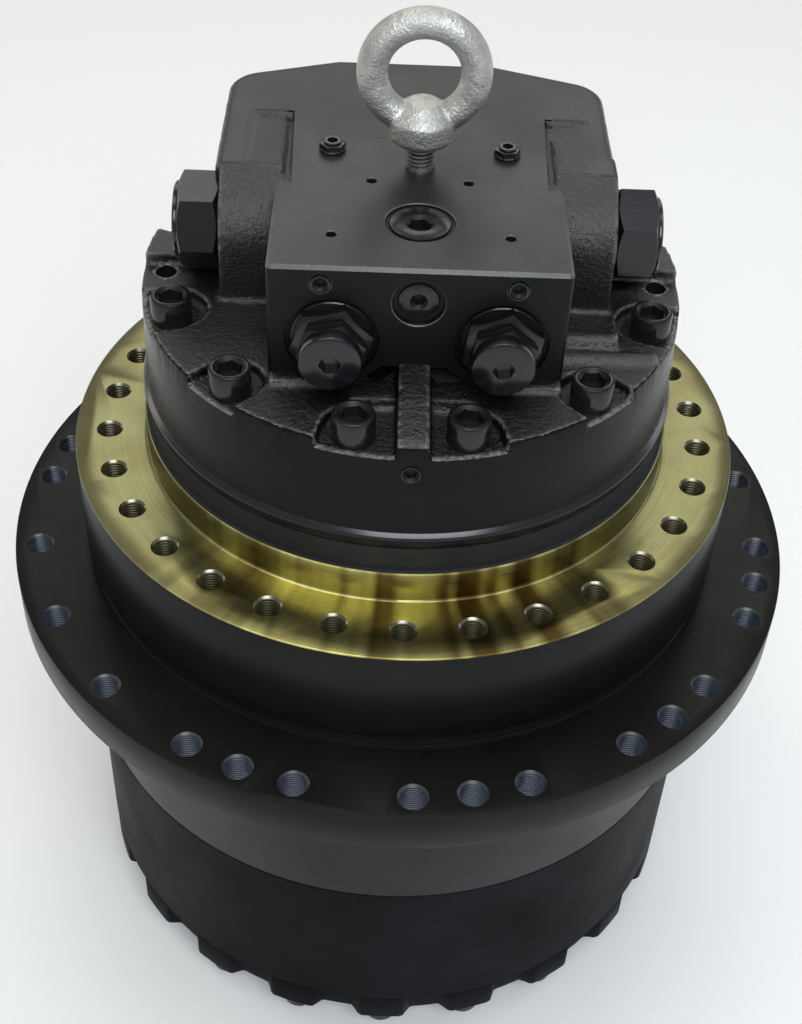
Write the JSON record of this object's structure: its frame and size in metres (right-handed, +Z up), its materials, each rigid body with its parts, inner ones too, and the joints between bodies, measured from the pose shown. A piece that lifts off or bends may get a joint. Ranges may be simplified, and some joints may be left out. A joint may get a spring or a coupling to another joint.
{
  "type": "excavator final drive",
  "caption": "Excavator final drive: travel motor with port block on a flanged spindle, and a turning hub with sprocket flange and planetary gearbox under a lobed end cover.",
  "frame": {"origin": "middle of the boss of the end cover, the lowest face, on the gearbox axis", "axes": "+Z runs up the gearbox axis from the end cover to the port block; -Y is the side of the port block with the relief valves; +X is to the right seen from there"},
  "size_m": [0.5182, 0.5182, 0.6732],
  "materials": {
    "machined": "turned, yellow passivated on the frame flange and pilot",
    "cast_black": "rough casting under glossy black paint",
    "black_paint": "satin black paint",
    "zinc": "galvanised forging",
    "steel": "ground and oiled",
    "gear_steel": "hardened and ground",
    "seal_iron": "machined cast iron",
    "bronze": "turned bronze"
  },
  "bodies": {
    "spindle": {"spindle_housing": "machined", "rear_cover": "cast_black", "cover_screw_1": "black_paint", "cover_screw_2": "black_paint", "cover_screw_3": "black_paint", "cover_screw_4": "black_paint", "cover_screw_5": "black_paint", "cover_screw_6": "black_paint", "cover_screw_7": "black_paint", "cover_screw_8": "black_paint", "relief_valve_left": "black_paint", "relief_valve_right": "black_paint", "relief_cap_left": "black_paint", "relief_cap_right": "black_paint", "counterbalance_cap_left": "black_paint", "counterbalance_cap_right": "black_paint", "front_plug": "black_paint", "gauge_plug_left": "black_paint", "gauge_plug_right": "black_paint", "side_plug": "black_paint", "top_plug": "black_paint", "port_plug_left": "black_paint", "port_plug_right": "black_paint", "eye_bolt": "zinc", "bearing_inner_upper": "steel", "bearing_inner_lower": "steel", "bearing_nut": "steel", "static_seal_ring": "seal_iron", "second_carrier": "seal_iron", "second_pin_1": "steel", "second_pin_2": "steel", "second_pin_3": "steel", "swash_plate": "steel", "valve_plate": "bronze"},
    "hub": {"sprocket_hub": "black_paint", "ring_gear": "black_paint", "end_cover": "black_paint", "fill_plug": "black_paint", "drain_plug": "black_paint", "bearing_outer_upper": "steel", "bearing_outer_lower": "steel", "rotating_seal_ring": "seal_iron", "thrust_button": "bronze"},
    "first_stage_carrier": {"first_carrier": "seal_iron", "first_pin_1": "steel", "first_pin_2": "steel", "first_pin_3": "steel", "second_sun": "gear_steel"},
    "motor_rotor": {"sun_shaft": "gear_steel", "cylinder_block": "steel"},
    "first_gear_1": {"first_planet_1": "gear_steel"},
    "first_gear_2": {"first_planet_2": "gear_steel"},
    "first_gear_3": {"first_planet_3": "gear_steel"},
    "second_gear_1": {"second_planet_1": "gear_steel"},
    "second_gear_2": {"second_planet_2": "gear_steel"},
    "second_gear_3": {"second_planet_3": "gear_steel"}
  },
  "joints": [
    {"name": "output_turn", "type": "hinge", "parent": "spindle", "child": "hub", "pos_m": [0, 0, 0.2], "axis": [0, 0, 1], "continuous": true},
    {"name": "carrier_turn", "type": "hinge", "parent": "spindle", "child": "first_stage_carrier", "pos_m": [0, 0, 0.095], "axis": [0, 0, 1], "continuous": true},
    {"name": "motor_turn", "type": "hinge", "parent": "spindle", "child": "motor_rotor", "pos_m": [0, 0, 0.3], "axis": [0, 0, 1], "continuous": true},
    {"name": "first_gear_1_turn", "type": "hinge", "parent": "first_stage_carrier", "child": "first_gear_1", "pos_m": [0, -0.108, 0.07], "axis": [0, 0, 1], "continuous": true},
    {"name": "first_gear_2_turn", "type": "hinge", "parent": "first_stage_carrier", "child": "first_gear_2", "pos_m": [0.09353, 0.054, 0.07], "axis": [0, 0, 1], "continuous": true},
    {"name": "first_gear_3_turn", "type": "hinge", "parent": "first_stage_carrier", "child": "first_gear_3", "pos_m": [-0.09353, 0.054, 0.07], "axis": [0, 0, 1], "continuous": true},
    {"name": "second_gear_1_turn", "type": "hinge", "parent": "spindle", "child": "second_gear_1", "pos_m": [0, -0.108, 0.14], "axis": [0, 0, 1], "continuous": true},
    {"name": "second_gear_2_turn", "type": "hinge", "parent": "spindle", "child": "second_gear_2", "pos_m": [0.09353, 0.054, 0.14], "axis": [0, 0, 1], "continuous": true},
    {"name": "second_gear_3_turn", "type": "hinge", "parent": "spindle", "child": "second_gear_3", "pos_m": [-0.09353, 0.054, 0.14], "axis": [0, 0, 1], "continuous": true}
  ],
  "couplings": [
    {"joint": "carrier_turn", "follows": "output_turn", "ratio": -3.5},
    {"joint": "motor_turn", "follows": "output_turn", "ratio": -19.25},
    {"joint": "first_gear_1_turn", "follows": "output_turn", "ratio": 12.6},
    {"joint": "first_gear_2_turn", "follows": "output_turn", "ratio": 12.6},
    {"joint": "first_gear_3_turn", "follows": "output_turn", "ratio": 12.6},
    {"joint": "second_gear_1_turn", "follows": "output_turn", "ratio": 2.8},
    {"joint": "second_gear_2_turn", "follows": "output_turn", "ratio": 2.8},
    {"joint": "second_gear_3_turn", "follows": "output_turn", "ratio": 2.8}
  ]
}
